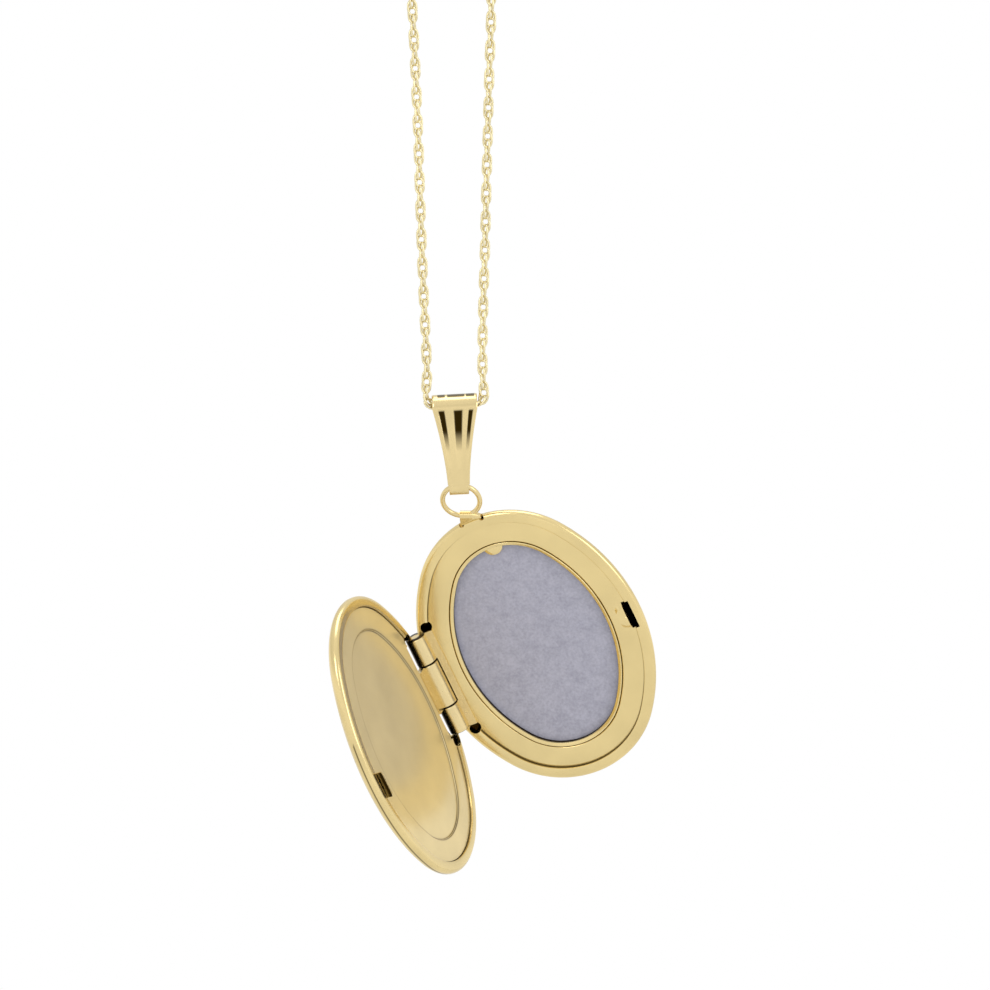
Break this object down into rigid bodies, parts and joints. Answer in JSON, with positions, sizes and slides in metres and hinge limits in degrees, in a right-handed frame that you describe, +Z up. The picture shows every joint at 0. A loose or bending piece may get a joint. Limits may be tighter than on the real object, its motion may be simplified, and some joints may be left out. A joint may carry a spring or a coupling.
{
  "type": "pendant necklace",
  "caption": "Hinged oval locket standing open, with a framed grey picture card, on a fluted pinch bail and a fine rope-link chain with a spring-ring clasp.",
  "frame": {"origin": "where a hook or peg bears inside the top of the chain loop", "axes": "+Z up, +X to the viewer's right, -Y towards the viewer"},
  "size_m": [0.0283, 0.0207, 0.0986],
  "materials": {
    "polished_gold": "polished yellow gold",
    "pale_gold": "bright polished gold",
    "chain_gold": "bright polished gold wire",
    "card": "matt mottled grey card",
    "spring_steel": "bright drawn wire"
  },
  "bodies": {
    "chain": {"chain": "chain_gold", "end_link_lower": "chain_gold", "end_ring": "chain_gold", "clasp_ring": "polished_gold", "clasp_eye": "polished_gold", "clasp_spring": "spring_steel", "clasp_jump_ring": "chain_gold", "end_link_upper": "chain_gold"},
    "gate": {"clasp_lever": "polished_gold"},
    "bail": {"bail": "pale_gold"},
    "rear_half": {"rear_case": "polished_gold", "rear_ring": "polished_gold", "catch_nib": "polished_gold", "rear_knuckle_upper": "pale_gold", "rear_knuckle_lower": "pale_gold", "rear_hinge_leaf": "polished_gold", "hinge_pin": "pale_gold", "ring_tab": "polished_gold", "hanging_ring": "pale_gold"},
    "cover": {"front_cover": "polished_gold", "cover_lining": "polished_gold", "cover_catch": "polished_gold", "cover_knuckle": "pale_gold", "cover_hinge_leaf": "polished_gold"},
    "picture_holder": {"photo_frame": "polished_gold", "picture_card": "card"}
  },
  "joints": [
    {"name": "clasp_gate", "type": "hinge", "parent": "chain", "child": "gate", "pos_m": [0.00372, 0, -0.01654], "axis": [0, 1, 0], "range_deg": [0, 40], "stiffness_Nm_per_rad": 0.0002, "springref_deg": -28.65},
    {"name": "bail_swing", "type": "hinge", "parent": "chain", "child": "bail", "pos_m": [0.00046, 0, -0.05735], "axis": [1, 0, 0], "range_deg": [-60, 60]},
    {"name": "locket_swing", "type": "hinge", "parent": "bail", "child": "rear_half", "pos_m": [0.001, 0.00097, -0.06529], "axis": [0.0893, 0.7944, 0.6007], "range_deg": [-30, 80]},
    {"name": "cover_hinge", "type": "hinge", "parent": "rear_half", "child": "cover", "pos_m": [-0.00106, 0.00839, -0.08116], "axis": [0.4145, 0.3256, -0.8498], "range_deg": [-100.5, 40]},
    {"name": "frame_out", "type": "slide", "parent": "rear_half", "child": "picture_holder", "axis": [-0.1027, -0.9111, -0.3991], "range_m": [0, 0.006]}
  ]
}
